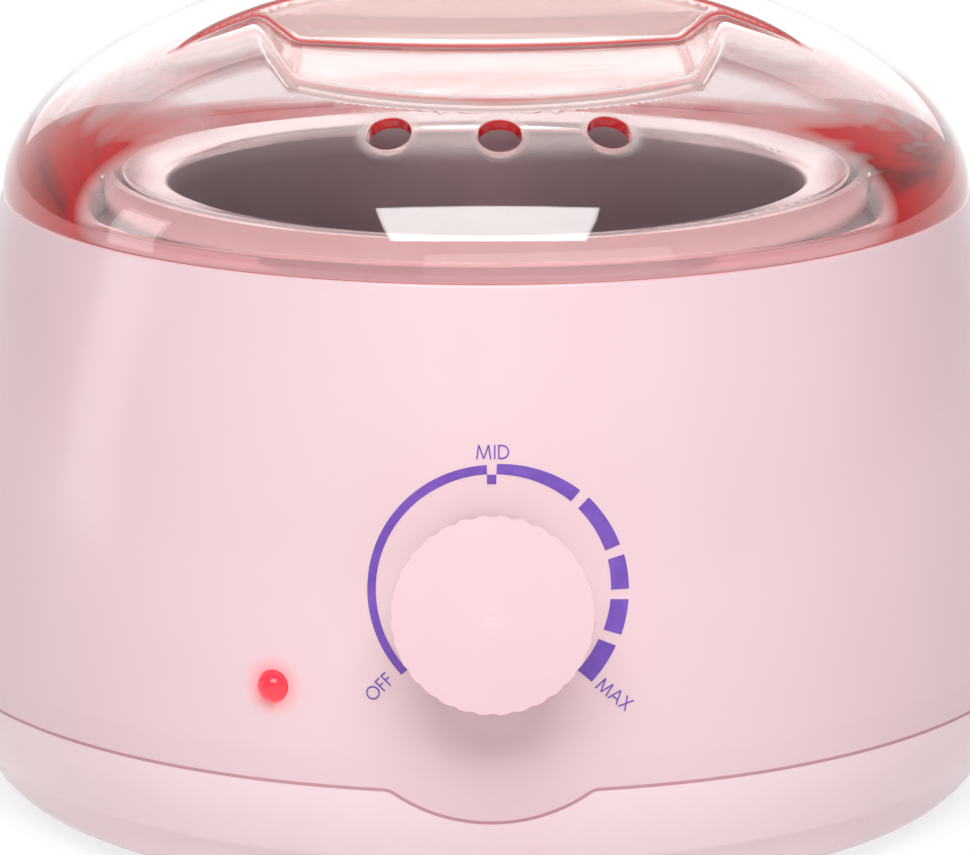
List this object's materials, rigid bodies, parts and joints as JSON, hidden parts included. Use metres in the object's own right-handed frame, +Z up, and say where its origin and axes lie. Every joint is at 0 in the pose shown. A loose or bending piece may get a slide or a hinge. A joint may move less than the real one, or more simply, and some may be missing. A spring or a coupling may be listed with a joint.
{
  "type": "wax warmer",
  "caption": "Round tabletop wax warmer: pale pink housing, clear tinted domed lid with finger recesses, lift-out metal pot with a swinging bail, front dial knob and red pilot lamp.",
  "frame": {"origin": "on the table, under the middle of the round body, in the plane of the rubber feet's undersides", "axes": "+Z up along the body's axis, -Y out of the front through the knob, +X to the right seen from the front"},
  "size_m": [0.1824, 0.1992, 0.1353],
  "materials": {
    "housing_plastic": "glossy pale pink moulded plastic",
    "knob_plastic": "glossy pale pink moulded plastic",
    "lid_plastic": "clear red-tinted moulded plastic",
    "pot_aluminium": "spun, bright inside",
    "bail_metal": "polished strip",
    "well_aluminium": "satin spun",
    "steel": "zinc plated",
    "heater_sheath": "bright sheath round mica",
    "glass_felt": "glass fibre felt",
    "fuse_case": "satin",
    "bushing_brass": "turned",
    "switch_plastic": "dark phenolic",
    "lens_red": "clear red, lit from behind",
    "inner_plastic": "natural white",
    "lamp_glass": "clear",
    "rubber": "soft pink"
  },
  "bodies": {
    "base": {"upper_housing": "housing_plastic", "base_cover": "housing_plastic", "heating_well": "well_aluminium", "well_screws": "steel", "heater_band": "heater_sheath", "heater_clamp": "steel", "clamp_screw": "steel", "clamp_nut": "steel", "insulation_sleeve": "glass_felt", "fuse_clip": "steel", "thermal_fuse": "fuse_case", "thermostat_bracket": "steel", "bracket_screws": "steel", "thermostat_bushing": "bushing_brass", "thermostat_body": "switch_plastic", "indicator_lens": "lens_red", "lamp_holder": "inner_plastic", "neon_lamp": "lamp_glass", "base_screws": "steel", "rubber_feet": "rubber", "terminal_block": "inner_plastic", "terminal_screws": "steel", "cord_inlet": "rubber"},
    "control": {"knob": "knob_plastic", "thermostat_shaft": "steel"},
    "pot": {"wax_pot": "pot_aluminium", "pot_ears": "pot_aluminium", "bail_rivets": "pot_aluminium"},
    "handle": {"bail": "bail_metal"},
    "cover": {"lid": "lid_plastic"}
  },
  "joints": [
    {"name": "knob_turn", "type": "hinge", "parent": "base", "child": "control", "pos_m": [0, -0.08969, 0.0532], "axis": [0, 0.9994, -0.0349], "range_deg": [-132, 131]},
    {"name": "pot_lift", "type": "slide", "parent": "base", "child": "pot", "axis": [0, 0, 1], "range_m": [0, 0.08]},
    {"name": "lid_lift", "type": "slide", "parent": "pot", "child": "cover", "axis": [0, 0, 1], "range_m": [0, 0.16]},
    {"name": "bail_swing", "type": "hinge", "parent": "pot", "child": "handle", "pos_m": [0, 0, 0.0991], "axis": [-1, 0, 0], "range_deg": [0, 180]}
  ],
  "couplings": [
    {"joint": "bail_swing", "follows": "lid_lift", "rad_per_m": 19.6}
  ]
}
